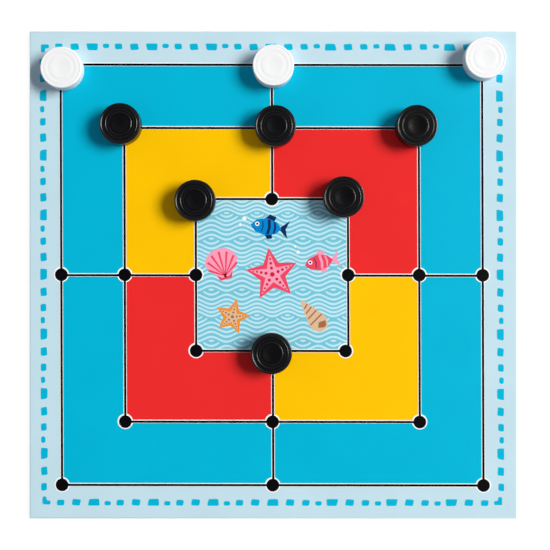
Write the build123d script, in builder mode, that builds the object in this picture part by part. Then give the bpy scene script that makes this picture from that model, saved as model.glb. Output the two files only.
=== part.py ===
from build123d import *
import os

# Nine men's morris board: a greyboard slab wrapped in a printed sheet, with nine turned
# counters lying on its points. Millimetres. The origin is the middle of the underside,
# +Z is up, +X runs to the right and +Y to the far side.

os.makedirs("parts", exist_ok=True)

# ---- Board layers ----
board_side = 305.0  # square, over the wrapped sheet
core_thickness = 2.0
sheet_thickness = 0.2
liner_thickness = 0.15
tint_thickness = 0.04  # colour fields, printed on the sheet
black_thickness = 0.04  # the figure, printed over them
core_edge_radius = 0.3  # cut edges of the greyboard, crushed round by the wrapping
turn_in_width = 15.0  # of the sheet, on the back
mitre_gap = 0.4  # between two turn-ins where they meet at a corner
mitre_closed = 1.2  # the fold still joins them over this length
liner_inset = 4.0  # from the board's edge to the liner's edge
liner_step_run = 1.0  # the liner comes off the turn-ins onto the core over this length

# ---- Playing figure: three squares joined by four midlines, a point at every node ----
figure_margin = 20.7  # from the board's edge to the outer square
outer_ring_width = 39.7  # outer to middle square
middle_ring_width = 44.5  # middle to inner square
figure_shift = (-0.55, -0.2)  # the print lies this far off the middle of the board
line_width = 1.0
point_radius = 4.0
stray_point = "e3"  # printed a little off its corner
stray_shift = (-1.75, 0.0)
border_margin = 1.5  # bare sheet between the border's tint and the fold

# ---- Counters: turned wood, lacquered ----
counter_radius = 12.75
counter_height = 8.5
shoulder_run = 0.5  # the side turns in by this much
shoulder_drop = 0.8  # over this much of its height
land_width = 3.5  # the flat ring round the bowl
bowl_slope_run = 1.5
bowl_depth = 0.9

# Colour, point, and how far off the point it was put down.
counters = [
    ("white", "a7", (1.75, -3.9)),
    ("white", "d7", (0.6, -2.5)),
    ("white", "g7", (-0.6, 2.0)),
    ("black", "b6", (-1.65, 1.3)),
    ("black", "d6", (1.85, 0.0)),
    ("black", "f6", (-3.05, 0.1)),
    ("black", "c5", (-0.05, -1.5)),
    ("black", "e5", (-3.6, 0.65)),
    ("black", "d3", (-0.55, -0.7)),
]

# ---- Levels and sizes that follow ----
turn_in_level = liner_thickness
core_level = turn_in_level + sheet_thickness
sheet_level = core_level + core_thickness
tint_level = sheet_level + sheet_thickness
black_level = tint_level + tint_thickness
counter_level = black_level + black_thickness

core_side = board_side - 2 * sheet_thickness
fold_radius = core_edge_radius + sheet_thickness
window_side = board_side - 2 * turn_in_width
liner_side = board_side - 2 * liner_inset
outer_half = board_side / 2 - figure_margin
middle_half = outer_half - outer_ring_width
inner_half = middle_half - middle_ring_width

# Columns a to g and rows 1 to 7 lie at the same offsets from the figure's middle.
letters = "abcdefg"
grid = [-outer_half, -middle_half, -inner_half, 0.0, inner_half, middle_half, outer_half]
middle_line = letters.index("d")
square_lines = [(ring, middle_line, len(letters) - 1 - ring) for ring in range(3)]


def printed_spot(column, row):
    """Where a point is printed, from the figure's middle."""
    stray = stray_point == f"{letters[column]}{row + 1}"
    shift = stray_shift if stray else (0.0, 0.0)
    return grid[column] + shift[0], grid[row] + shift[1]


printed_spots = [
    printed_spot(column, row)
    for lines in square_lines
    for column in lines
    for row in lines
    if (column, row) != (middle_line, middle_line)
]


def square(half, mode=Mode.ADD):
    Rectangle(2 * half, 2 * half, mode=mode)


def middle_ring_corners(signs):
    """The corners of the ring between the middle and inner squares in these quadrants."""
    with Locations([(x * middle_half / 2, y * middle_half / 2) for x, y in signs]):
        square(middle_half / 2)
    square(inner_half, Mode.SUBTRACT)


tint_plane = Plane((*figure_shift, tint_level))
black_plane = Plane((*figure_shift, black_level))

# ---- Board ----
with BuildPart() as board_core:
    with BuildSketch(Plane.XY.offset(core_level)):
        Rectangle(core_side, core_side)
    extrude(amount=core_thickness)
    rims = board_core.edges().group_by(Axis.Z)
    fillet(rims[0] + rims[-1], core_edge_radius)

with BuildPart() as cover_sheet:
    # The wrapped block, with the core taken out of it.
    with BuildSketch(Plane.XY.offset(turn_in_level)):
        Rectangle(board_side, board_side)
    extrude(amount=core_thickness + 2 * sheet_thickness)
    rims = cover_sheet.edges().group_by(Axis.Z)
    fillet(rims[0] + rims[-1], fold_radius)
    add(board_core.part, mode=Mode.SUBTRACT)
    # The turn-ins leave a window on the back and meet in a mitre at each corner.
    with BuildSketch(Plane.XY.offset(turn_in_level)):
        Rectangle(window_side, window_side)
        mitre_reach = core_side - 2 * (core_edge_radius + mitre_closed)
        for turn in (45, -45):
            Rectangle(mitre_reach * 2**0.5, mitre_gap, rotation=turn)
    extrude(amount=sheet_thickness, mode=Mode.SUBTRACT)

with BuildPart() as backing_liner:
    with BuildSketch():
        Rectangle(liner_side, liner_side)
    extrude(amount=liner_thickness)
    # Inside the window the liner rises onto the core: its top first, then its underside.
    raised_side = window_side - 2 * liner_step_run
    for level, mode in ((liner_thickness, Mode.ADD), (0, Mode.SUBTRACT)):
        with BuildSketch(Plane.XY.offset(level)):
            Rectangle(window_side, window_side)
        with BuildSketch(Plane.XY.offset(level + sheet_thickness)):
            Rectangle(raised_side, raised_side)
        loft(mode=mode)

# ---- Print: five tints that tile the sheet, and the black figure over their joints ----
with BuildPart() as border_tint:
    with BuildSketch(Plane.XY.offset(tint_level)):
        Rectangle(board_side - 2 * border_margin, board_side - 2 * border_margin)
        with Locations(figure_shift):
            square(outer_half, Mode.SUBTRACT)
    extrude(amount=tint_thickness)

with BuildPart() as outer_field:
    with BuildSketch(tint_plane):
        square(outer_half)
        square(middle_half, Mode.SUBTRACT)
    extrude(amount=tint_thickness)

with BuildPart() as yellow_fields:
    with BuildSketch(tint_plane):
        middle_ring_corners([(-1, 1), (1, -1)])
    extrude(amount=tint_thickness)

with BuildPart() as red_fields:
    with BuildSketch(tint_plane):
        middle_ring_corners([(1, 1), (-1, -1)])
    extrude(amount=tint_thickness)

with BuildPart() as wave_panel:
    with BuildSketch(tint_plane):
        square(inner_half)
    extrude(amount=tint_thickness)

with BuildPart() as morris_figure:
    with BuildSketch(black_plane):
        for half in (outer_half, middle_half, inner_half):
            square(half + line_width / 2)
            square(half - line_width / 2, Mode.SUBTRACT)
        with PolarLocations((outer_half + inner_half) / 2, 4):
            Rectangle(outer_half - inner_half, line_width)
        with Locations(printed_spots):
            Circle(point_radius)
    extrude(amount=black_thickness)

board_pieces = {
    "board_core": board_core,
    "cover_sheet": cover_sheet,
    "backing_liner": backing_liner,
    "border_tint": border_tint,
    "outer_field": outer_field,
    "yellow_fields": yellow_fields,
    "red_fields": red_fields,
    "wave_panel": wave_panel,
    "morris_figure": morris_figure,
}
for name, piece in board_pieces.items():
    piece.part.label = name
    export_step(piece.part, f"parts/{name}.step")

# ---- Counters ----
land_radius = counter_radius - shoulder_run
bowl_radius = land_radius - land_width
bowl_floor = counter_height - bowl_depth

for colour, point, shift in counters:
    x = figure_shift[0] + grid[letters.index(point[0])] + shift[0]
    y = figure_shift[1] + grid[int(point[1]) - 1] + shift[1]
    with BuildPart() as counter:
        # Half the turned section: foot, side, shoulder, land and bowl.
        with BuildSketch(Plane((x, y, counter_level), x_dir=(1, 0, 0), z_dir=(0, -1, 0))):
            with BuildLine():
                Polyline(
                    (0, bowl_floor),
                    (0, 0),
                    (counter_radius, 0),
                    (counter_radius, counter_height - shoulder_drop),
                    (land_radius, counter_height),
                    (bowl_radius, counter_height),
                    (bowl_radius - bowl_slope_run, bowl_floor),
                    close=True,
                )
            make_face()
        revolve(axis=Axis((x, y, 0), (0, 0, 1)))
    name = f"{colour}_counter_{point}"
    counter.part.label = name
    export_step(counter.part, f"parts/{name}.step")
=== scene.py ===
"""Nine mens morris board: the wrapped, printed board and its turned counters.

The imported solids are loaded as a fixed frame, and each piece below is modelled
and finished where its solid is. Lengths are in metres, in the frame's own axes:
+X runs to the right of the board, +Y to its far side and +Z up.
"""

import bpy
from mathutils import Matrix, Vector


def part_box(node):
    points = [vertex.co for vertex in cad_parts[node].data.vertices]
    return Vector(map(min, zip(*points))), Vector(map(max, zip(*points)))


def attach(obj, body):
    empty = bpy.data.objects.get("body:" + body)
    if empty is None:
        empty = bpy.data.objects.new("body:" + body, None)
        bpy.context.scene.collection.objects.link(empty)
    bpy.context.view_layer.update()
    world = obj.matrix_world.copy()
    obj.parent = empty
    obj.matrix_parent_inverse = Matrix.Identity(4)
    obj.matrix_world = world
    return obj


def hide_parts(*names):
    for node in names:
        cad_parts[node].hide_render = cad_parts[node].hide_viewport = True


bl_info = {
    "name": "Nine Mens Morris Board",
    "version": (1, 0, 0),
    "blender": (4, 5, 0),
    "location": "3D View > Sidebar > Morris",
    "description": "Models and finishes a printed nine mens morris board with its counters",
    "category": "Object",
}

from math import cos, pi, radians, sin, tau

import bmesh
import bpy
from bpy.props import FloatProperty, FloatVectorProperty, IntProperty, PointerProperty
from bpy.types import Operator, Panel, PropertyGroup
from mathutils import Vector

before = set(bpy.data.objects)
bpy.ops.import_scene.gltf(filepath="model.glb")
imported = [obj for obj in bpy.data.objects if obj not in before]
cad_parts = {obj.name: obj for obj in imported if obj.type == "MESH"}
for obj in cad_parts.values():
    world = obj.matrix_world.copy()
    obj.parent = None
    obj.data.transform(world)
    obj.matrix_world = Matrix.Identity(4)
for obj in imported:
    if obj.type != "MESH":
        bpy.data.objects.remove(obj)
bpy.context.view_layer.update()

MM = 0.001
SHEET_LOW, SHEET_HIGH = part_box("cover_sheet")
SHEET_TOP = SHEET_HIGH.z
TINT_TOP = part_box("outer_field")[1].z
FIGURE_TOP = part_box("morris_figure")[1].z
FILM_SINK = 0.001 * MM  # a film starts this far inside what it lies on
TINY = 0.01 * MM  # lengths closer than this count as the same
ACROSS, ALONG = (1, 0, 0), (0, 1, 0)  # normals of the planes that cut flat pieces
# Depths over which the painted shade on a counter's side fades into its top
PAINTED_SHADE_BLEND = (0.8 * MM, 0.25 * MM)  # a counter's side turns to its top between these depths
LATHE_FEED = 0.45 * MM  # from one turned ring of a counter to the next
COUNTERS = [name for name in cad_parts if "_counter_" in name]


# ---- Settings that a user can change ----


def number(name, description, default, **more):
    return FloatProperty(name=name, description=description, default=default, precision=5, **more)


def length(name, description, millimetres):
    return number(name, description, millimetres * MM, subtype="DISTANCE", unit="LENGTH")


def slant(name, description, degrees):
    return number(name, description, radians(degrees), subtype="ANGLE", unit="ROTATION")


def offset(name, description, x, y):
    """A shift in the board's plane, in millimetres."""
    default = (x * MM, y * MM)
    kind = {"size": 2, "precision": 5, "subtype": "XYZ", "unit": "LENGTH"}
    return FloatVectorProperty(name=name, description=description, default=default, **kind)


def display(red, green, blue):
    """An 8-bit display colour as the scene colour that shaders take."""
    channels = (value / 255 for value in (red, green, blue))
    return tuple(
        c / 12.92 if c <= 0.04045 else ((c + 0.055) / 1.055) ** 2.4 for c in channels
    )


def colour(name, description, red, green, blue):
    default = display(red, green, blue)
    kind = {"size": 3, "min": 0.0, "max": 1.0, "subtype": "COLOR"}
    return FloatVectorProperty(name=name, description=description, default=default, **kind)


class MorrisBoardSizes(PropertyGroup):
    fold_radius: length("Fold radius", "Round of the sheet over the board's edges", 0.5)
    sheet_thickness: length("Sheet thickness", "Printed sheet that wraps the board", 0.2)
    turn_in_width: length("Turn-in width", "Sheet folded onto the back", 15.0)
    mitre_gap: length("Mitre gap", "Between two turn-ins at a corner", 0.4)
    mitre_closed: length("Mitre closed", "Length over which the fold still joins them", 1.2)
    edge_droop: length("Edge droop", "How much lower the crushed edge of the core lies", 0.05)
    droop_run: length("Droop run", "From the edge to where the board is flat", 2.0)


class MorrisPrintSizes(PropertyGroup):
    figure_shift: offset("Figure shift", "From the board's middle to the figure's", -0.74, 0.02)
    outer_half: length("Outer square", "Half the side of the outer square", 131.8)
    middle_half: length("Middle square", "Half the side of the middle square", 92.1)
    inner_half: length("Inner square", "Half the side of the inner square", 47.6)
    line_width: length("Line width", "Black lines of the figure", 1.44)
    point_radius: length("Point radius", "Black points where lines meet", 4.0)
    line_edging: length("Line edging", "White left beside each line", 0.35)
    point_edging: length("Point edging", "White left round each point", 0.82)
    register: offset("Register", "How far the black is printed off the white", 0.05, -0.18)
    cross_shift: offset("Cross shift", "From the squares' middle to the joining lines'", 0.32, -0.3)
    stretch_angle: slant("Stretch angle", "Way of the print's most growth, clockwise from +X", 31.5)
    stretch_along: number("Stretch along", "Growth of the print that way", 1.00156)
    stretch_across: number("Stretch across", "Growth of the print across it", 0.99584)
    print_turn: slant("Print turn", "How far the print is turned on the board", 0.06)
    stray_shift: length("Stray point", "How far left the lower right inner point lies", 1.75)
    dash_row: length("Dash row", "From the middle of the board to a row of dashes", 143.0)
    dash_shift: offset("Dash shift", "From the board's middle to the dashes'", -1.05, 0.1)
    row_slip: length("Row slip", "How far both rows are printed to the right", 0.2)
    column_inset: length("Column inset", "How much nearer the middle the left column is", 0.48)
    column_stretch: number("Column stretch", "Length of the columns against the rows", 1.0052)
    dash_squeeze: number("Dash squeeze", "Height of the frame against its width", 0.9986)
    wave_length: length("Wave length", "From one crest of a wave line to the next", 19.1)
    wave_width: length("Wave line width", "Pale lines of the waves", 1.3)


class MorrisCounterSizes(PropertyGroup):
    white_relief: number("White relief", "Share of the top's depth that white lacquer leaves", 0.22)
    black_relief: number("Black relief", "Share of the top's depth that black lacquer leaves", 1.0)
    white_softening: length("White softening", "Width that white lacquer adds to a wall", 0.45)
    black_softening: length("Black softening", "Width that black lacquer adds to a wall", 0.0)
    segments: IntProperty(
        name="Segments", description="Facets round a counter", default=96, min=24, max=256
    )


class MorrisColours(PropertyGroup):
    sheet: colour("Sheet", "Pale blue of the border and folds", 196, 226, 238)
    field: colour("Field", "Blue of the outer field and dashes", 0, 182, 217)
    yellow: colour("Yellow", "Yellow of the middle ring", 254, 197, 0)
    red: colour("Red", "Red of the middle ring", 237, 44, 44)
    sea: colour("Sea", "Ground of the wave panel", 118, 200, 222)
    foam: colour("Foam", "Lines of the waves", 192, 233, 245)
    edging: colour("Edging", "White edging of the figure", 252, 252, 252)
    black: colour("Black", "Lines and points of the figure", 6, 6, 10)
    coral: colour("Coral", "Starfish and shell ribs", 241, 72, 100)
    pink: colour("Pink", "Pale parts of the starfish and shell", 251, 160, 190)
    crimson: colour("Crimson", "Dots on the starfish", 214, 30, 58)
    azure: colour("Azure", "Striped fish", 0, 136, 210)
    orange: colour("Orange", "Second fish and small starfish", 244, 146, 38)
    sand: colour("Sand", "Turret shell", 224, 190, 154)
    brown: colour("Brown", "Bands of the turret shell", 168, 108, 74)
    navy: colour("Navy", "Fine dark lines and eyes", 18, 42, 92)
    white_lacquer: colour("White lacquer", "White counters", 245, 247, 249)
    black_lacquer: colour("Black lacquer", "Black counters", 3, 3, 5)
    greyboard: colour("Greyboard", "Core of the board", 171, 166, 156)
    liner: colour("Liner", "Paper on the back", 239, 237, 230)


class MorrisStage(PropertyGroup):
    camera_height: length("Camera height", "Above the board's printed face", 488.0)
    camera_shift: offset("Camera shift", "From the board's middle to the camera", 1.13, -0.06)
    camera_angle: slant("Camera angle", "Angle of view across the picture", 38.84)
    key_azimuth: slant("Key azimuth", "Way to the main lamp, from +X towards +Y", 13.0)
    key_elevation: slant("Key elevation", "Height of the main lamp above the floor", 34.5)
    key_power: number("Key power", "Power of the main lamp", 715.0, min=0.0)
    fill_power: number("Fill power", "Power of the card on the left", 3.0, min=0.0)
    room_light: number("Room light", "Light from all round", 0.205, min=0.0)


# ---- At the bench: selecting, moving and finishing ----


def same(first, second):
    return abs(first - second) < TINY


def leave_all():
    """Object mode with nothing selected."""
    if bpy.context.object and bpy.context.object.mode != "OBJECT":
        bpy.ops.object.mode_set(mode="OBJECT")
    bpy.ops.object.select_all(action="DESELECT")


def hold(*pieces):
    """Selects these pieces alone, the last of them active."""
    leave_all()
    for piece in pieces:
        piece.select_set(True)
    bpy.context.view_layer.objects.active = pieces[-1]


def added(name):
    """The primitive or copy just made, named and with its place in its mesh."""
    piece = bpy.context.object
    piece.name = piece.data.name = name
    bpy.ops.object.transform_apply(location=True, rotation=True, scale=True)
    return piece


def open_mesh(piece):
    """Edit mode on this piece alone, with all of it selected."""
    hold(piece)
    bpy.ops.object.mode_set(mode="EDIT")
    bpy.ops.mesh.select_mode(type="VERT")
    bpy.ops.mesh.select_all(action="SELECT")


def close_mesh():
    bpy.ops.object.mode_set(mode="OBJECT")


def pick(kind, test):
    """Selects what passes the test among the open mesh's verts, edges or faces."""
    bpy.ops.mesh.select_mode(type=kind[:-1].upper())
    bpy.ops.mesh.select_all(action="DESELECT")
    mesh = bmesh.from_edit_mesh(bpy.context.object.data)
    found = [element for element in getattr(mesh, kind) if test(element)]
    if not found:
        raise RuntimeError(f"{bpy.context.object.name}: no {kind} to select")
    for element in found:
        element.select_set(True)
    mesh.select_flush_mode()
    bmesh.update_edit_mesh(bpy.context.object.data)


def split(place, normal, **more):
    """Cuts all of the open mesh along a plane."""
    bpy.ops.mesh.select_all(action="SELECT")
    bpy.ops.mesh.bisect(plane_co=place, plane_no=normal, **more)


def move(x=0.0, y=0.0, z=0.0):
    bpy.ops.transform.translate(value=(x, y, z))


def turn(angle):
    """Turns anticlockwise about +Z. With no window the operator turns the other way."""
    bpy.ops.transform.rotate(value=-angle, orient_axis="Z", center_override=(0, 0, 0))


def stretch(x=1.0, y=1.0, centre=(0.0, 0.0, 0.0)):
    bpy.ops.transform.resize(value=(x, y, 1.0), center_override=centre)


def discard(*pieces):
    hold(*pieces)
    bpy.ops.object.delete()


def flat_disc(name, radius, corners, x=0.0, y=0.0, z=0.0):
    leave_all()
    bpy.ops.mesh.primitive_circle_add(
        vertices=corners, radius=radius, fill_type="NGON", location=(x, y, z)
    )
    return added(name)


def copied(piece, name):
    """A copy of the piece with its own mesh, selected alone."""
    hold(piece)
    bpy.ops.object.duplicate(linked=False)
    return added(name)


def joined(pieces, name):
    hold(*pieces)
    if len(pieces) > 1:
        bpy.ops.object.join()
    return added(name)


def apply_modifier(piece, kind, **settings):
    hold(piece)
    modifier = piece.modifiers.new(kind.title(), kind)
    for key, value in settings.items():
        setattr(modifier, key, value)
    bpy.ops.object.modifier_apply(modifier=modifier.name)


def film(piece, base, top):
    """Makes a flat cut-out on z = 0 a film that starts just inside its base."""
    low = base - FILM_SINK
    apply_modifier(piece, "SOLIDIFY", thickness=top - low, offset=1.0)
    move(z=low)
    added(piece.name)


def face_up(piece):
    """Turns a flat cut-out's faces to +Z, as a mirrored copy's are not."""
    if any(face.normal.z < 0 for face in piece.data.polygons):
        open_mesh(piece)
        pick("faces", lambda face: face.normal.z < 0)
        bpy.ops.mesh.flip_normals()
        close_mesh()


def round_corners(**how):
    """Rounds all corners of the open flat mesh."""
    bpy.ops.mesh.select_all(action="SELECT")
    bpy.ops.mesh.bevel(segments=4, affect="VERTICES", **how)


def cut_shape(corners, rounding=0.0, share=0.0):
    """A flat shape on z = 0 with these corners, anticlockwise and in millimetres.

    They are rounded by a length in millimetres, or by a share of their sides.
    """
    shape = flat_disc("shape", MM, len(corners))
    open_mesh(shape)
    starts = [vert.co.copy() for vert in bmesh.from_edit_mesh(shape.data).verts]
    for index, (start, (x, y)) in enumerate(zip(starts, corners)):
        pick("verts", lambda vert: vert.index == index)
        move(x * MM - start.x, y * MM - start.y)
    if share:
        round_corners(offset_type="PERCENT", offset_pct=share)
    else:
        round_corners(offset=rounding * MM)
    close_mesh()
    return shape


def finished(piece, finish, body, slot, *nodes, smooth=None):
    """Gives the piece its finish, and hangs it on its body in the nodes' place."""
    hold(piece)
    if smooth is None:
        bpy.ops.object.shade_flat()
    else:
        bpy.ops.object.shade_smooth_by_angle(angle=radians(smooth))
    piece.data.materials.clear()
    piece.data.materials.append(finish)
    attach(piece, body)
    if nodes:
        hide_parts(*nodes)


def dress_node(node, finish):
    """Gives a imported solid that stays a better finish."""
    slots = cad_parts[node].material_slots
    if not slots:
        raise RuntimeError(f"{node} has no material slot")
    for slot in slots:
        slot.material = finish


def pull_print(piece, sizes):
    """Stretches and turns a print as the damp sheet did when it was glued down."""
    open_mesh(piece)
    turn(sizes.stretch_angle)
    stretch(sizes.stretch_along, sizes.stretch_across)
    turn(sizes.print_turn - sizes.stretch_angle)
    close_mesh()


# ---- Finishes ----


def new_finish(name):
    """A material, its node tree, its shader and its place on the object."""
    material = bpy.data.materials.new(name)
    material.use_nodes = True
    tree = material.node_tree
    place = tree.nodes.new("ShaderNodeTexCoord").outputs["Object"]
    return material, tree, tree.nodes["Principled BSDF"], place


def feed(tree, node, sockets):
    """Sets each of these sockets of a node to a value, or links it to another socket."""
    for name, value in sockets.items():
        if isinstance(value, bpy.types.NodeSocket):
            tree.links.new(value, node.inputs[name])
        else:
            node.inputs[name].default_value = value


def new_node(tree, kind, sockets, **settings):
    node = tree.nodes.new("ShaderNode" + kind)
    for name, value in settings.items():
        setattr(node, name, value)
    feed(tree, node, sockets)
    return node


def moved_place(tree, place, location=(0, 0, 0), scale=(1, 1, 1)):
    sockets = {"Location": location, "Scale": scale, "Vector": place}
    return new_node(tree, "Mapping", sockets).outputs["Vector"]


def noise(tree, place, millimetres, detail=2.0):
    """Noise whose features are about this size."""
    sockets = {"Scale": 1.0 / (millimetres * MM), "Detail": detail, "Vector": place}
    return new_node(tree, "TexNoise", sockets).outputs["Fac"]


def height_of(tree, place):
    return new_node(tree, "SeparateXYZ", {0: place}).outputs["Z"]


def spread(tree, value, from_low, from_high, to_low=0.0, to_high=1.0):
    """The value, stretched from one range to another."""
    sockets = {"From Min": from_low, "From Max": from_high, "To Min": to_low, "To Max": to_high}
    return new_node(tree, "MapRange", {**sockets, "Value": value}).outputs["Result"]


def mixed(tree, factor, first, second):
    """A colour between two, each a colour or a socket."""
    sockets = {0: factor, 6: first, 7: second}
    return new_node(tree, "Mix", sockets, data_type="RGBA").outputs[2]


def shade_of(rgb, factor=1.0):
    """A darker or lighter shade of a colour."""
    return (*(min(1.0, max(0.0, channel * factor)) for channel in rgb), 1.0)


def set_shader(tree, shader, paint, roughness, gloss, bumps):
    """Leads a finish to its shader. Bumps are heights and their depths in millimetres."""
    normal = {}
    for height, depth in bumps:
        sockets = {"Distance": depth * MM, "Filter Width": 0.1, "Height": height, **normal}
        normal["Normal"] = new_node(tree, "Bump", sockets).outputs["Normal"]
    sockets = {"Base Color": paint, "Roughness": roughness, "Specular IOR Level": gloss}
    feed(tree, shader, {**sockets, **normal})


def print_finish(name, ink, mottle=0.03):
    """Ink on paper under a satin film: faint cloud, fine tooth and a soft sheen."""
    material, tree, shader, place = new_finish(name)
    cloud = noise(tree, place, 35, detail=3.0)
    tooth = noise(tree, place, 0.22, detail=1.0)
    peel = noise(tree, place, 1.6)
    board = noise(tree, place, 6)
    pale, dark = shade_of(ink, 1 + mottle / 2), shade_of(ink, 1 - mottle)
    clouded = mixed(tree, spread(tree, cloud, 0.3, 0.7), dark, pale)
    paint = mixed(tree, spread(tree, tooth, 0.35, 0.75, 0.0, 0.12), clouded, shade_of(ink, 0.9))
    satin = spread(tree, peel, 0.3, 0.7, 0.42, 0.52)
    bumps = (board, 0.008), (peel, 0.002), (tooth, 0.0008)
    set_shader(tree, shader, paint, satin, gloss=0.08, bumps=bumps)
    return material


def lacquer_finish(name, pigment, low, high, roughness, gloss, painted_side_shade):
    """Sprayed lacquer on a turned counter: lathe rings, orange peel and a satin gloss.

    Its side is painted darker, down to this share of the pigment, as painted shade.
    """
    material, tree, shader, place = new_finish(name)
    centre = (low + high) / 2
    own = moved_place(tree, place, location=(-centre.x, -centre.y, 0))
    # At scale 1 the node's rings lie tau / 20 apart.
    sockets = {"Scale": tau / (20 * LATHE_FEED), "Distortion": 1.5, "Detail": 2.0}
    sockets.update({"Detail Scale": 0.4, "Vector": own})
    rings = new_node(tree, "TexWave", sockets, wave_type="RINGS", rings_direction="Z")
    peel = noise(tree, own, 1.1)
    cloud = noise(tree, own, 5)
    pale, dark = shade_of(pigment), shade_of(pigment, 0.97)
    clouded = mixed(tree, spread(tree, cloud, 0.3, 0.7), dark, pale)
    # Painted shade: below the top, the side keeps only a share of the pigment
    top = spread(tree, height_of(tree, place), *(high.z - depth for depth in PAINTED_SHADE_BLEND))
    paint = mixed(tree, top, shade_of(pigment, painted_side_shade), clouded)
    satin = spread(tree, peel, 0.3, 0.7, roughness * 0.9, roughness * 1.1)
    bumps = (rings.outputs["Fac"], 0.0006), (peel, 0.0012)
    set_shader(tree, shader, paint, satin, gloss, bumps)
    return material


def greyboard_finish(pulp):
    """Raw pulp board: clouded, with pale and dark fibres."""
    material, tree, shader, place = new_finish("greyboard_pulp")
    cloud = noise(tree, place, 4, detail=4.0)
    fibre = noise(tree, moved_place(tree, place, scale=(1, 4, 1)), 0.6, detail=3.0)
    base = mixed(tree, cloud, shade_of(pulp, 0.88), shade_of(pulp, 1.08))
    flecks = mixed(tree, spread(tree, fibre, 0.58, 0.7, 0.0, 0.6), base, shade_of(pulp, 0.55))
    set_shader(tree, shader, flecks, roughness=0.92, gloss=0.2, bumps=[(fibre, 0.02)])
    return material


def liner_finish(paper):
    """Uncoated lining paper, with soft fibres and a faint cloud."""
    material, tree, shader, place = new_finish("liner_paper")
    cloud = noise(tree, place, 18, detail=4.0)
    fibre = noise(tree, moved_place(tree, place, scale=(1, 3, 1)), 0.5, detail=3.0)
    base = mixed(tree, cloud, shade_of(paper, 0.95), shade_of(paper, 1.02))
    specks = mixed(tree, spread(tree, fibre, 0.62, 0.74, 0.0, 0.25), base, shade_of(paper, 0.8))
    bumps = (cloud, 0.01), (fibre, 0.012)
    set_shader(tree, shader, specks, roughness=0.85, gloss=0.25, bumps=bumps)
    return material


# ---- Board ----


def wrap_sheet(sizes):
    """One sheet over the face and edges, its turn-ins mitred on the back."""
    leave_all()
    bpy.ops.mesh.primitive_cube_add(
        size=1, location=(SHEET_LOW + SHEET_HIGH) / 2, scale=SHEET_HIGH - SHEET_LOW
    )
    sheet = added("wrapped_sheet")
    half = SHEET_HIGH.x
    closed, window = half - sizes.mitre_closed, half - sizes.turn_in_width
    open_mesh(sheet)

    pick("faces", lambda face: face.normal.z < -0.9)
    bpy.ops.mesh.inset(thickness=sizes.mitre_closed)
    bpy.ops.mesh.inset(thickness=sizes.turn_in_width - sizes.mitre_closed)
    bpy.ops.mesh.delete(type="FACE")

    def on_mitre(edge):
        ends = sorted(abs(vert.co.x) for vert in edge.verts)
        diagonal = all(same(abs(vert.co.x), abs(vert.co.y)) for vert in edge.verts)
        return diagonal and same(ends[0], window) and same(ends[1], closed)

    def in_mitre(face):
        x, y, z = face.calc_center_median()
        return z < SHEET_LOW.z + TINY and same(abs(x), abs(y)) and window < abs(x) < closed

    pick("edges", on_mitre)
    bpy.ops.mesh.bevel(offset=sizes.mitre_gap / 2, affect="EDGES")
    pick("faces", in_mitre)
    bpy.ops.mesh.delete(type="FACE")

    # The face is flat up to the droop, which ends in the fold.
    pick("faces", lambda face: face.normal.z > 0.9)
    for part in (2, 2, 4):
        bpy.ops.mesh.inset(thickness=sizes.droop_run / part)

    def on_ring(vert, inset):
        x, y, z = vert.co
        return z > SHEET_TOP - TINY and same(max(abs(x), abs(y)), half - inset)

    pick("verts", lambda vert: on_ring(vert, sizes.droop_run / 2))
    move(z=-sizes.edge_droop / 4)
    pick("verts", lambda vert: on_ring(vert, 0.0))
    move(z=-sizes.edge_droop)

    def on_fold(edge):
        first, last = (vert.co for vert in edge.verts)
        level = same(first.z, last.z) and (
            same(first.z, SHEET_LOW.z) or same(first.z, SHEET_TOP - sizes.edge_droop)
        )
        return level and any(
            same(first[axis], last[axis]) and same(abs(first[axis]), half) for axis in (0, 1)
        )

    pick("edges", on_fold)
    bpy.ops.mesh.bevel(offset=sizes.fold_radius, segments=6, affect="EDGES")
    close_mesh()
    apply_modifier(
        sheet, "SOLIDIFY", thickness=sizes.sheet_thickness, offset=-1.0, use_even_offset=True
    )
    return sheet


class MORRIS_OT_board(Operator):
    """Wrap the greyboard in its sheet and finish the core and the liner"""

    bl_idname = "morris.board"
    bl_label = "Board"

    def execute(self, context):
        colours = context.scene.morris_colours
        sheet = wrap_sheet(context.scene.morris_board)
        finish = print_finish("sheet_film", colours.sheet)
        finished(sheet, finish, "board", "printed_sheet", "cover_sheet", "border_tint", smooth=35)
        dress_node("board_core", greyboard_finish(colours.greyboard))
        dress_node("backing_liner", liner_finish(colours.liner))
        return {"FINISHED"}


class MORRIS_OT_fields(Operator):
    """Finish the colour fields of the print"""

    bl_idname = "morris.fields"
    bl_label = "Colour fields"

    def execute(self, context):
        colours = context.scene.morris_colours
        for node, ink in (
            ("outer_field", colours.field),
            ("yellow_fields", colours.yellow),
            ("red_fields", colours.red),
            ("wave_panel", colours.sea),
        ):
            dress_node(node, print_finish(node + "_film", ink))
        return {"FINISHED"}


# ---- Dashes round the border ----

# Corners of each cut, from its own middle, outward side up, in millimetres, how round
# they are and how far out the cut lies. Half of a row has them turned by half a turn.
DASH_CUTS = {
    "long": ([(-3.75, 2.15), (-2.8, -2.05), (3.35, -2.2), (3.7, 2.15)], 0.9, 0.0),
    "medium": ([(-2.85, 1.8), (-2.3, -2.15), (2.95, -1.75), (2.2, 2.15)], 0.9, 0.05),
    "small": ([(-2.5, 1.8), (-2.0, -1.85), (2.55, -1.7), (2.2, 1.85)], 1.05, 0.25),
    "tiny": ([(-2.1, 1.35), (-1.75, -1.45), (2.15, -1.25), (2.05, 1.45)], 1.15, 0.6),
}
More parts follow.
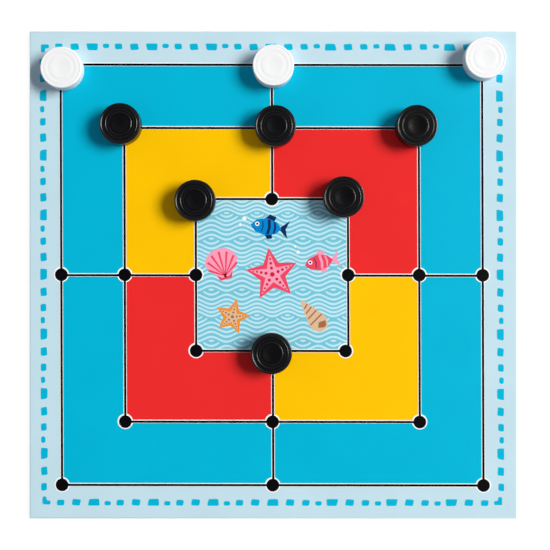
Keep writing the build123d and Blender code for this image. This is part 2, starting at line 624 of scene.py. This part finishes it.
# From the middle of a row outwards: the cut, and how far on it lies.
DASH_STEPS = [("medium", 10.9), ("small", 9.9), ("tiny", 7.9), ("long", 8.6)]
DASHES_PER_HALF = 14
DASH_FILM = 0.012 * MM
CORNER_MARK = [  # at the upper left of the frame
    (-143.8, 144.5), (-143.8, 139.4), (-141.25, 139.4),
    (-141.25, 141.95), (-138.7, 141.95), (-138.7, 144.5),
]


class MORRIS_OT_dashes(Operator):
    """Print the frame of dashes on the border"""

    bl_idname = "morris.dashes"
    bl_label = "Border dashes"

    def execute(self, context):
        sizes = context.scene.morris_print
        cuts = {kind: cut_shape(*cut[:2]) for kind, cut in DASH_CUTS.items()}
        row = [copied(cuts["long"], "dash")]
        reach = 0.0
        for step in range(DASHES_PER_HALF):
            kind, gap = DASH_STEPS[step % len(DASH_STEPS)]
            reach += gap * MM
            for side in (-1, 1):
                row.append(copied(cuts[kind], "dash"))
                if side > 0:
                    turn(pi)
                move(side * reach, DASH_CUTS[kind][2] * MM)
        discard(*cuts.values())
        hold(*row)
        move(y=sizes.dash_row)
        row = joined(row, "dash_row")
        left = copied(row, "dash_row")
        turn(pi / 2)
        added("dash_row")
        stretch(y=sizes.column_stretch)
        right = copied(left, "dash_row")
        stretch(x=-1)
        hold(left)
        move(sizes.column_inset)
        near = copied(row, "dash_row")
        stretch(y=-1)
        hold(row, near)
        move(sizes.row_slip)
        mark = cut_shape(CORNER_MARK, rounding=1.0)
        parts = [row, left, near, right, mark]
        for flip in ((-1, 1), (1, -1), (-1, -1)):
            parts.append(copied(mark, "dash_corner"))
            stretch(*flip)
        for part in parts:
            hold(part)
            added(part.name)
            face_up(part)
        dashes = joined(parts, "border_dashes")
        pull_print(dashes, sizes)
        stretch(y=sizes.dash_squeeze)
        move(*sizes.dash_shift)
        added("border_dashes")
        film(dashes, SHEET_TOP, SHEET_TOP + DASH_FILM)
        finish = print_finish("dash_film", context.scene.morris_colours.field)
        finished(dashes, finish, "board", "ink_blue")
        return {"FINISHED"}


# ---- Playing figure ----

POINT_FACETS = 48
EDGING_DROP = 0.008 * MM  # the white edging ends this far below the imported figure's top


def figure_points(sizes):
    """Where the 24 points lie, from the figure's own middle."""
    for half in (sizes.outer_half, sizes.middle_half, sizes.inner_half):
        for x in (-half, 0.0, half):
            for y in (-half, 0.0, half):
                if x or y:
                    stray = half == sizes.inner_half and x > 0 > y
                    yield x - (sizes.stray_shift if stray else 0.0), y


def cut_lines(name, sizes, half_width):
    """The flat lines of the three squares and of the four lines that join them."""
    squares = (sizes.outer_half, sizes.middle_half, sizes.inner_half)
    reach = sizes.outer_half + half_width
    across, along = sizes.cross_shift
    leave_all()
    bpy.ops.mesh.primitive_plane_add(size=2 * reach, location=(0, 0, 0))
    lines = added(name)
    open_mesh(lines)
    middles = [(side * half, side * half) for half in squares for side in (-1, 1)]
    for x, y in [(across, along), *middles]:
        for side in (-half_width, half_width):
            if abs(x + side) < reach - TINY:
                for normal in (ACROSS, ALONG):
                    split((x + side, y + side, 0), normal)

    def between_lines(face):
        middle = face.calc_center_median()
        far = max(abs(middle.x), abs(middle.y))
        on_square = any(abs(far - half) < half_width for half in squares)
        on_cross = min(abs(middle.x - across), abs(middle.y - along)) < half_width
        return not (on_square or (on_cross and far > sizes.inner_half))

    pick("faces", between_lines)
    bpy.ops.mesh.delete(type="FACE")
    close_mesh()
    return lines


def cut_figure(name, sizes, line_margin, point_margin, top):
    """Lines and points, each larger all round by its margin, up to this height."""
    lines = cut_lines(name, sizes, sizes.line_width / 2 + line_margin)
    point = flat_disc("point", sizes.point_radius + point_margin, POINT_FACETS)
    points = []
    for x, y in figure_points(sizes):
        points.append(copied(point, "point"))
        move(x, y)
    discard(point)
    points = joined(points, "points")
    film(lines, SHEET_TOP, top)
    film(points, SHEET_TOP - FILM_SINK, top + FILM_SINK)
    apply_modifier(lines, "BOOLEAN", operation="UNION", solver="EXACT", object=points)
    discard(points)
    return lines


class MORRIS_OT_figure(Operator):
    """Print the white edging and over it the black lines and points"""

    bl_idname = "morris.figure"
    bl_label = "Playing figure"

    def execute(self, context):
        sizes, colours = context.scene.morris_print, context.scene.morris_colours
        margins = sizes.line_edging, sizes.point_edging
        edging = cut_figure("figure_edging", sizes, *margins, FIGURE_TOP - EDGING_DROP)
        figure = cut_figure("figure_lines", sizes, 0.0, 0.0, FIGURE_TOP - FILM_SINK)
        for layer, side in ((edging, -0.5), (figure, 0.5)):
            pull_print(layer, sizes)
            move(*(Vector(sizes.figure_shift) + side * Vector(sizes.register)))
            added(layer.name)
        finish = print_finish("edging_film", colours.edging, mottle=0.015)
        finished(edging, finish, "board", "printed_sheet")
        finish = print_finish("black_film", colours.black)
        finished(figure, finish, "board", "ink_black", "morris_figure")
        return {"FINISHED"}


# ---- Waves in the middle ----

# Per band, in millimetres: the column and rows of its eyes, how far below them the lines
# that run right across lie, and the same of its short strokes, with half their length
# and how far their ends rise.
WAVE_BANDS = [
    {
        "column": -10.1,
        "rows": (38.69, 6.76, -25.2),
        "lines": (6.09, 9.02, 11.93, 15.06),
        "strokes": ((2.35, 4.15, 1.5), (4.95, 7.2, 2.95)),
    },
    {
        "column": -0.5,
        "rows": (54.65, 22.72, -9.2, -41.2),
        "lines": (4.68, 7.58, 10.19, 12.68, 15.11),
        "strokes": ((3.19, 5.1, 2.05),),
    },
]
WAVE_EYE = [(-2.15, 0.0), (-0.9, -0.66), (0.9, -0.66), (2.15, 0.0), (0.9, 0.62), (-0.9, 0.62)]
WAVE_SWING = 1.53 * MM
WAVE_COLUMNS, STROKE_COLUMNS = 16, 12
WAVE_SPREAD, STROKE_SPREAD = 1.08, 1.06  # ink spreads, so each prints this much wider
WAVE_PERIODS = 7
WAVE_STEPS = range(-2, 4)  # a stroke is drawn once in each of these periods
WAVE_FILM = 0.008 * MM
PANEL_MARGIN = 0.4 * MM  # the waves end this far inside the panel


def flat_strip(name, columns, reach, width):
    leave_all()
    bpy.ops.mesh.primitive_grid_add(
        x_subdivisions=columns, y_subdivisions=1, size=reach, location=(0, 0, 0)
    )
    added(name)
    stretch(y=width / reach)
    return added(name)


def bend_columns(strip, rise):
    """Moves each column of a strip up by what rise says for its place."""
    open_mesh(strip)
    places = sorted({round(vert.co.x, 7) for vert in bmesh.from_edit_mesh(strip.data).verts})
    for place in places:
        pick("verts", lambda vert: same(vert.co.x, place))
        move(y=rise(place))
    close_mesh()


def cut_wave(sizes):
    """A line of waves across the panel, its troughs on x = 0."""
    period = sizes.wave_length
    wave = flat_strip("wave", WAVE_COLUMNS, period, WAVE_SPREAD * sizes.wave_width)
    bend_columns(wave, lambda x: -WAVE_SWING * cos(tau * x / period))
    steps = {"use_relative_offset": False, "use_constant_offset": True}
    steps.update(constant_offset_displace=(period, 0, 0), count=WAVE_PERIODS)
    apply_modifier(wave, "ARRAY", **steps, use_merge_vertices=True, merge_threshold=TINY)
    move(x=-(WAVE_PERIODS // 2) * period)
    return added("wave")


def cut_stroke(sizes, half_length, rise):
    """A short curved stroke that is drawn up and thin at its ends."""
    width = STROKE_SPREAD * sizes.wave_width
    stroke = flat_strip("stroke", STROKE_COLUMNS, 2 * half_length, width)
    bend_columns(stroke, lambda x: rise * (1 - cos(pi / 2 * x / half_length)))
    open_mesh(stroke)
    pick("verts", lambda vert: same(abs(vert.co.x), half_length))
    stretch(y=0.5, centre=(0, rise, 0))
    bpy.ops.mesh.bevel(offset=0.15 * sizes.wave_width, segments=3, affect="VERTICES")
    close_mesh()
    return stroke


class MORRIS_OT_waves(Operator):
    """Print the lines of the waves on the panel in the middle"""

    bl_idname = "morris.waves"
    bl_label = "Waves"

    def execute(self, context):
        sizes = context.scene.morris_print
        wave = cut_wave(sizes)
        prints = []
        for band in WAVE_BANDS:
            column = band["column"] * MM
            strokes = [(cut_shape(WAVE_EYE, rounding=0.3), 0.0)]
            for depth, half, rise in band["strokes"]:
                strokes.append((cut_stroke(sizes, half * MM, rise * MM), depth))
            for height in band["rows"]:
                for depth in band["lines"]:
                    prints.append(copied(wave, "wave"))
                    move(column, (height - depth) * MM)
                for stroke, depth in strokes:
                    for step in WAVE_STEPS:
                        prints.append(copied(stroke, "stroke"))
                        move(column + step * sizes.wave_length, (height - depth) * MM)
            discard(*(stroke for stroke, depth in strokes))
        discard(wave)
        waves = joined(prints, "wave_lines")
        low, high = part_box("wave_panel")
        open_mesh(waves)
        for corner, side in ((low, -1), (high, 1)):
            for normal in (ACROSS, ALONG):
                outward = side * Vector(normal)
                split(corner - outward * PANEL_MARGIN, outward, clear_outer=True)
        close_mesh()
        film(waves, TINT_TOP, TINT_TOP + WAVE_FILM)
        finish = print_finish("foam_film", context.scene.morris_colours.foam)
        finished(waves, finish, "board", "ink_pale_blue")
        return {"FINISHED"}


# ---- Sea creatures on the waves ----

# Each cut of a creature: its ink, its layer, its corners in millimetres and by how much
# of their sides they are rounded. A fish swims to the right, the shells stand upright.
FISH = [
    ("marks", 0, [(-5.4, 0.0), (-10.4, 4.6), (-8.8, 0.2), (-10.2, -4.3)], 0.22),
    ("marks", 0, [(2.8, 3.2), (-0.4, 6.3), (-3.6, 5.3), (-2.8, 2.8)], 0.28),
    ("marks", 0, [(1.8, -3.0), (-2.4, -2.8), (-2.9, -5.1), (-0.6, -5.6)], 0.28),
    ("body", 1, [
        (8.2, 0.2), (5.6, 3.1), (0.6, 4.3), (-4.2, 3.0),
        (-6.8, 0.0), (-4.2, -2.8), (0.6, -4.0), (5.4, -2.8),
    ], 0.42),
    ("marks", 2, [(0.4, 3.8), (-1.0, 3.8), (-1.6, 0.0), (-1.0, -3.4), (0.3, -3.5), (-0.2, 0.0)], 0.3),
    ("marks", 2, [(-2.7, 3.1), (-3.6, 2.7), (-4.2, 0.0), (-3.7, -2.4), (-2.8, -2.8), (-3.2, 0.0)], 0.3),
    ("navy", 2, [(2.95, 2.7), (2.5, 2.75), (1.9, 0.2), (2.5, -2.5), (2.95, -2.4), (2.4, 0.2)], 0.3),
    ("navy", 2, [(7.5, -0.75), (6.5, -1.0), (5.6, -1.6), (5.7, -1.9), (6.7, -1.35), (7.4, -1.15)], 0.3),
]
FISH_EYE = (5.1, 1.0)
EYE_RADIUS, PUPIL_RADIUS = 1.05, 0.55
SCALLOP = [
    ("coral", 0, [(4.4, -5.4), (-4.4, -5.4), (-3.2, -8.6), (3.2, -8.6)], 0.2),
    ("pink", 1, [
        (9.4, 1.6), (7.6, 5.3), (4.5, 7.8), (0.0, 8.8), (-4.5, 7.8), (-7.6, 5.3),
        (-9.4, 1.6), (-6.4, -3.4), (-2.0, -7.3), (2.0, -7.3), (6.4, -3.4),
    ], 0.4),
]
SCALLOP_RIB = [(0.62, 1.0), (-0.62, 1.0), (-0.2, -0.1), (0.2, -0.1)]
SCALLOP_HINGE = -6.6 * MM  # the height that the ribs come from
# Turned by, and as long as.
SCALLOP_RIBS = [(0, 13.6), (-19, 13.2), (19, 13.2), (-38, 12), (38, 12), (-57, 9.6), (57, 9.6)]
TURRET = [
    ("sand", 0, [
        (4.7, -4.6), (4.3, -1.2), (0.8, 9.8), (-0.8, 9.8),
        (-4.3, -1.2), (-4.7, -4.6), (-2.0, -8.2), (2.4, -8.4),
    ], 0.32),
    ("brown", 1, [(3.5, -4.8), (0.2, -3.7), (-1.7, -5.7), (0.9, -7.4), (2.5, -7.0)], 0.36),
]
TURRET_BANDS = [(-1.6, 3.95), (1.5, 3.05), (4.3, 2.15), (6.7, 1.4)]  # height, half width
STAR_ARMS = 5
STAR_RIM, STAR_FACE = (14.6, 7.2), (12.4, 4.2)  # reach of an arm, and of the waist beside it
STAR_MIDDLE = 1.25  # radius of the dot in the middle
STAR_DOTS = [(3.5, 0.85), (6.1, 0.75), (8.5, 0.58), (10.5, 0.4)]  # along an arm, radius
BUBBLES = [(-17.5, 35.5, 1.3), (-20.0, 31.8, 0.85), (16.2, 14.4, 1.1), (14.4, 18.0, 0.75)]
CREATURE_LAYERS = [0.012 * MM, 0.015 * MM, 0.018 * MM, 0.021 * MM]
CREATURE_SLOTS = {
    **dict.fromkeys(("coral", "pink", "crimson"), "ink_red"),
    "azure": "ink_blue",
    **dict.fromkeys(("orange", "sand", "brown"), "ink_yellow"),
    "navy": "ink_black",
    "edging": "printed_sheet",
}


def cut_disc(radius, x, y):
    return flat_disc("shape", radius * MM, corners=24, x=x * MM, y=y * MM)


def star_corners(reach, waist):
    """Corners of a star with its first arm up, anticlockwise."""
    corners = []
    for step in range(2 * STAR_ARMS):
        radius = waist if step % 2 else reach
        angle = pi / 2 + step * pi / STAR_ARMS
        corners.append((radius * cos(angle), radius * sin(angle)))
    return corners


def cut_parts(parts, **inks):
    """Flat cuts of a creature, each with its ink and layer."""
    return [
        (cut_shape(corners, share=share), inks.get(ink, ink), layer)
        for ink, layer, corners, share in parts
    ]


def cut_fish(body, marks):
    return [
        *cut_parts(FISH, body=body, marks=marks),
        (cut_disc(EYE_RADIUS, *FISH_EYE), "edging", 2),
        (cut_disc(PUPIL_RADIUS, *FISH_EYE), "navy", 3),
    ]


def cut_star(outer, inner, dots):
    cuts = [
        (cut_shape(star_corners(*STAR_RIM), share=0.24), outer, 0),
        (cut_shape(star_corners(*STAR_FACE), share=0.22), inner, 1),
        (cut_disc(STAR_MIDDLE, 0, 0), dots, 2),
    ]
    for arm in range(STAR_ARMS):
        angle = pi / 2 + arm * tau / STAR_ARMS
        for reach, radius in STAR_DOTS:
            x, y = reach * cos(angle), reach * sin(angle)
            cuts.append((cut_disc(radius, x, y), dots, 2))
    return cuts


def cut_scallop():
    cuts = cut_parts(SCALLOP)
    for degrees, reach in SCALLOP_RIBS:
        rib = cut_shape([(x, y * reach) for x, y in SCALLOP_RIB], share=0.15)
        open_mesh(rib)
        turn(radians(degrees))
        move(y=SCALLOP_HINGE)
        close_mesh()
        cuts.append((rib, "coral", 2))
    return cuts


def cut_turret():
    cuts = cut_parts(TURRET)
    for height, half in TURRET_BANDS:
        high, low = height + 0.7, height - 1.0
        corners = [(half, high), (-half, high - 1.0), (-half, low), (half, low + 1.0)]
        cuts.append((cut_shape(corners, share=0.2), "brown", 1))
    return cuts


def cut_bubbles():
    return [(cut_disc(radius, x, y), "edging", 0) for x, y, radius in BUBBLES]


class MORRIS_OT_creatures(Operator):
    """Print starfish, fish and shells on the waves"""

    bl_idname = "morris.creatures"
    bl_label = "Sea creatures"

    def execute(self, context):
        low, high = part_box("wave_panel")
        middle = (low + high) / 2
        prints = {}
        # The cuts of each, its place in millimetres, turn, size, and -1 to face left.
        for cuts, x, y, degrees, scale, flip in (
            (cut_star("coral", "pink", "crimson"), 0, 0.5, 8, 1.15, 1),
            (cut_fish("azure", "navy"), -3, 30, -8, 1.3, -1),
            (cut_scallop(), -31.5, 7, 16, 1.15, 1),
            (cut_fish("coral", "pink"), 30, 8, 12, 1.2, -1),
            (cut_star("orange", "sand", "brown"), -25, -26, -14, 0.78, 1),
            (cut_turret(), 26, -26, 38, 1.25, 1),
            (cut_bubbles(), 0, 0, 0, 1.0, 1),
        ):
            for shape, ink, layer in cuts:
                open_mesh(shape)
                stretch(flip * scale, scale)
                turn(radians(degrees))
                move(middle.x + x * MM, middle.y + y * MM)
                close_mesh()
                face_up(shape)
                prints.setdefault((ink, layer), []).append(shape)
        colours = context.scene.morris_colours
        finishes = {ink: print_finish(ink + "_print", getattr(colours, ink)) for ink in CREATURE_SLOTS}
        for (ink, layer), shapes in sorted(prints.items(), key=lambda item: item[0]):
            piece = joined(shapes, f"creatures_{ink}_{layer}")
            film(piece, TINT_TOP, TINT_TOP + CREATURE_LAYERS[layer])
            finished(piece, finishes[ink], "board", CREATURE_SLOTS[ink])
        return {"FINISHED"}


# ---- Counters ----

# The lathe's path in millimetres, as radius and height: from the foot's edge up the side
# to the rim, down and up the walls of the two grooves in the top, and into the bowl.
FOOT_RADIUS = 12.05
RIM_HEIGHT = 8.5
COUNTER_SIDE = [
    (12.3, 0.13), (12.44, 0.35), (12.52, 0.7), (12.58, 1.5), (12.66, 3.0), (12.72, 5.0),
    (12.75, 7.0), (12.74, 7.6), (12.7, 7.95), (12.62, 8.2), (12.52, 8.36), (12.4, 8.46),
]
# Radius, height outside the wall and inside it, and width.
GROOVE_WALLS = [
    (11.55, 8.5, 8.16, 0.62), (10.5, 8.16, 8.4, 0.4), (8.8, 8.4, 8.14, 0.38), (7.1, 8.14, 8.38, 0.4)
]
COUNTER_BOWL = [(5.7, 8.33), (5.0, 8.235), (4.0, 8.06), (3.0, 7.885), (2.0, 7.77), (0.8, 7.735)]
WALL_STEPS = 6
# Roughness and gloss of each lacquer, and the share of its pigment left on the counter's side as
# painted shade
COATS = {
    "white": {"roughness": 0.4, "gloss": 0.25, "painted_side_shade": 0.76},
    "black": {"roughness": 0.29, "gloss": 0.5, "painted_side_shade": 1.0},
}


def counter_path(relief, softening):
    """The lathe's path with the top cut this part of full depth and its walls softened."""
    yield from COUNTER_SIDE
    top = []
    for radius, outside, inside, width in GROOVE_WALLS:
        width += softening / MM
        for step in range(WALL_STEPS + 1):
            share = step / WALL_STEPS
            drop = (1 - cos(pi * share)) / 2
            top.append((radius + width * (0.5 - share), outside + (inside - outside) * drop))
    for radius, height in top + COUNTER_BOWL:
        yield radius, RIM_HEIGHT - relief * (RIM_HEIGHT - height)


def turn_counter(sizes, shade):
    """A turned counter on z = 0 round the origin."""
    relief, softening = (getattr(sizes, shade + part) for part in ("_relief", "_softening"))
    counter = flat_disc("turned_counter", FOOT_RADIUS * MM, sizes.segments)
    open_mesh(counter)
    radius, height = FOOT_RADIUS, 0.0
    for next_radius, next_height in counter_path(relief, softening):
        bpy.ops.mesh.extrude_region_move(
            TRANSFORM_OT_translate={"value": (0, 0, (next_height - height) * MM)}
        )
        stretch(next_radius / radius, next_radius / radius)
        radius, height = next_radius, next_height
    bpy.ops.mesh.select_all(action="SELECT")
    bpy.ops.mesh.remove_doubles(threshold=0.0001 * MM)
    bpy.ops.mesh.normals_make_consistent(inside=False)
    close_mesh()
    return counter


class MORRIS_OT_counters(Operator):
    """Turn the counters and lacquer them"""

    bl_idname = "morris.counters"
    bl_label = "Counters"

    def execute(self, context):
        colours = context.scene.morris_colours
        sizes = context.scene.morris_counters
        turned = {shade: turn_counter(sizes, shade) for shade in COATS}
        for node in COUNTERS:
            low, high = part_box(node)
            centre = (low + high) / 2
            shade = node.split("_")[0]
            counter = copied(turned[shade], node.replace("_counter_", "_turned_"))
            move(centre.x, centre.y, low.z)
            added(counter.name)
            pigment = getattr(colours, shade + "_lacquer")
            finish = lacquer_finish(node + "_lacquer", pigment, low, high, **COATS[shade])
            body = node.replace("_counter_", "_")
            finished(counter, finish, body, shade + "_lacquer", node, smooth=40)
        discard(*turned.values())
        return {"FINISHED"}


# ---- Stage ----

FLOOR_GAP = 0.02 * MM  # the floor lies this far below the board's back
FLOOR_RADIUS = 8.0
FLOOR_WHITE = (0.88, 0.88, 0.88, 1)
FLOOR_GLOW, GLOW_SHARE = 1.09, 0.86  # how bright it is seen, and how far that hides shadows
KEY_LAMP = {"distance": 7.0, "size": (3.9, 2.4), "tint": (1.015, 1.0, 0.945)}
FILL_CARD = {"distance": 2.5, "size": (1.6, 1.6), "tint": (1.0, 1.0, 1.0)}
FILL_WAY = radians(195), radians(28)  # azimuth and elevation
ROOM_TINT = (1.02, 1.0, 1.15, 1)
WALLS, CEILING = 2.6, 0.2  # shares of the room's light, as strong on the board as an even one
HORIZON = (0.25, 0.45)  # the floor's white goes on above its far edge up to here


def combined(tree, operation, first, second):
    return new_node(tree, "Math", {0: first, 1: second}, operation=operation).outputs[0]


def seen_as(tree, shader, shown, share, output):
    """Leads a shader to the output. Rays that are seen, not light, see another by this share."""
    rays = new_node(tree, "LightPath", {}).outputs
    seen = combined(tree, "MAXIMUM", rays["Is Camera Ray"], rays["Is Glossy Ray"])
    seen = combined(tree, "MAXIMUM", seen, rays["Is Transmission Ray"])
    share = combined(tree, "MULTIPLY", seen, share)
    mix = new_node(tree, "MixShader", {0: share, 1: shader.outputs[0], 2: shown.outputs[0]})
    feed(tree, output, {"Surface": mix.outputs[0]})


class MORRIS_OT_stage(Operator):
    """Set the floor, the lamps, the room's light and the camera"""

    bl_idname = "morris.stage"
    bl_label = "Stage"

    def execute(self, context):
        settings = context.scene.morris_stage
        key_way = settings.key_azimuth, settings.key_elevation
        self.lay_floor()
        self.hang_lamp("key_lamp", *key_way, settings.key_power, **KEY_LAMP)
        self.hang_lamp("fill_card", *FILL_WAY, settings.fill_power, **FILL_CARD)
        self.light_room(context, settings.room_light)
        self.stand_camera(context, settings)
        context.scene.view_settings.view_transform = "Standard"
        return {"FINISHED"}

    def lay_floor(self):
        floor = flat_disc("floor", FLOOR_RADIUS, corners=64, z=-FLOOR_GAP)
        material = bpy.data.materials.new("floor_white")
        material.use_nodes = True
        tree = material.node_tree
        tree.nodes.clear()
        plain = new_node(tree, "BsdfDiffuse", {"Color": FLOOR_WHITE})
        glow = new_node(tree, "Emission", {"Strength": FLOOR_GLOW})
        seen_as(tree, plain, glow, GLOW_SHARE, new_node(tree, "OutputMaterial", {}))
        floor.data.materials.append(material)

    def hang_lamp(self, name, azimuth, elevation, power, distance, size, tint):
        """An area lamp that shines on the middle of the board from this way."""
        flat = cos(elevation)
        away = Vector((cos(azimuth) * flat, sin(azimuth) * flat, sin(elevation)))
        facing = (-away).to_track_quat("-Z", "Y").to_euler()
        leave_all()
        bpy.ops.object.light_add(type="AREA", location=away * distance, rotation=facing)
        lamp = bpy.context.object
        lamp.name = lamp.data.name = name
        lamp.data.shape = "RECTANGLE"
        lamp.data.size, lamp.data.size_y = size
        lamp.data.energy = power
        lamp.data.color = tint

    def light_room(self, context, level):
        world = bpy.data.worlds.new("room")
        context.scene.world = world
        world.use_nodes = True
        tree = world.node_tree
        height = height_of(tree, new_node(tree, "TexCoord", {}).outputs["Generated"])
        strength = spread(tree, height, 0.0, 1.0, level * WALLS, level * CEILING)
        room = tree.nodes["Background"]
        feed(tree, room, {"Color": ROOM_TINT, "Strength": strength})
        white = new_node(tree, "Background", {"Color": (1, 1, 1, 1), "Strength": 1.0})
        low = spread(tree, height, *HORIZON, 1.0, 0.0)
        seen_as(tree, room, white, low, tree.nodes["World Output"])

    def stand_camera(self, context, settings):
        leave_all()
        place = (*settings.camera_shift, SHEET_TOP + settings.camera_height)
        bpy.ops.object.camera_add(location=place, rotation=(0, 0, 0))
        camera = bpy.context.object
        camera.name = camera.data.name = "camera"
        camera.data.angle = settings.camera_angle
        camera.data.clip_start = 0.01
        context.scene.camera = camera


class MORRIS_PT_sidebar(Panel):
    bl_label = "Nine Mens Morris"
    bl_idname = "MORRIS_PT_sidebar"
    bl_space_type = "VIEW_3D"
    bl_region_type = "UI"
    bl_category = "Morris"

    def draw(self, context):
        for name, (label, group) in GROUPS.items():
            box = self.layout.box()
            box.label(text=label)
            for setting in group.__annotations__:
                box.prop(getattr(context.scene, name), setting)
        for operator in OPERATORS:
            self.layout.operator(operator.bl_idname)


GROUPS = {
    "morris_board": ("Board", MorrisBoardSizes),
    "morris_print": ("Print", MorrisPrintSizes),
    "morris_counters": ("Counters", MorrisCounterSizes),
    "morris_colours": ("Colours", MorrisColours),
    "morris_stage": ("Stage", MorrisStage),
}
OPERATORS = [
    MORRIS_OT_board,
    MORRIS_OT_fields,
    MORRIS_OT_dashes,
    MORRIS_OT_waves,
    MORRIS_OT_creatures,
    MORRIS_OT_figure,
    MORRIS_OT_counters,
    MORRIS_OT_stage,
]


def register():
    for name, (label, group) in GROUPS.items():
        bpy.utils.register_class(group)
        setattr(bpy.types.Scene, name, PointerProperty(type=group))
    for shown in (*OPERATORS, MORRIS_PT_sidebar):
        bpy.utils.register_class(shown)


def unregister():
    for shown in (MORRIS_PT_sidebar, *reversed(OPERATORS)):
        bpy.utils.unregister_class(shown)
    for name, (label, group) in GROUPS.items():
        delattr(bpy.types.Scene, name)
        bpy.utils.unregister_class(group)


def main():
    register()
    bpy.ops.morris.board()
    bpy.ops.morris.fields()
    bpy.ops.morris.dashes()
    bpy.ops.morris.waves()
    bpy.ops.morris.creatures()
    bpy.ops.morris.figure()
    bpy.ops.morris.counters()
    bpy.ops.morris.stage()


if __name__ == "__main__":
    main()
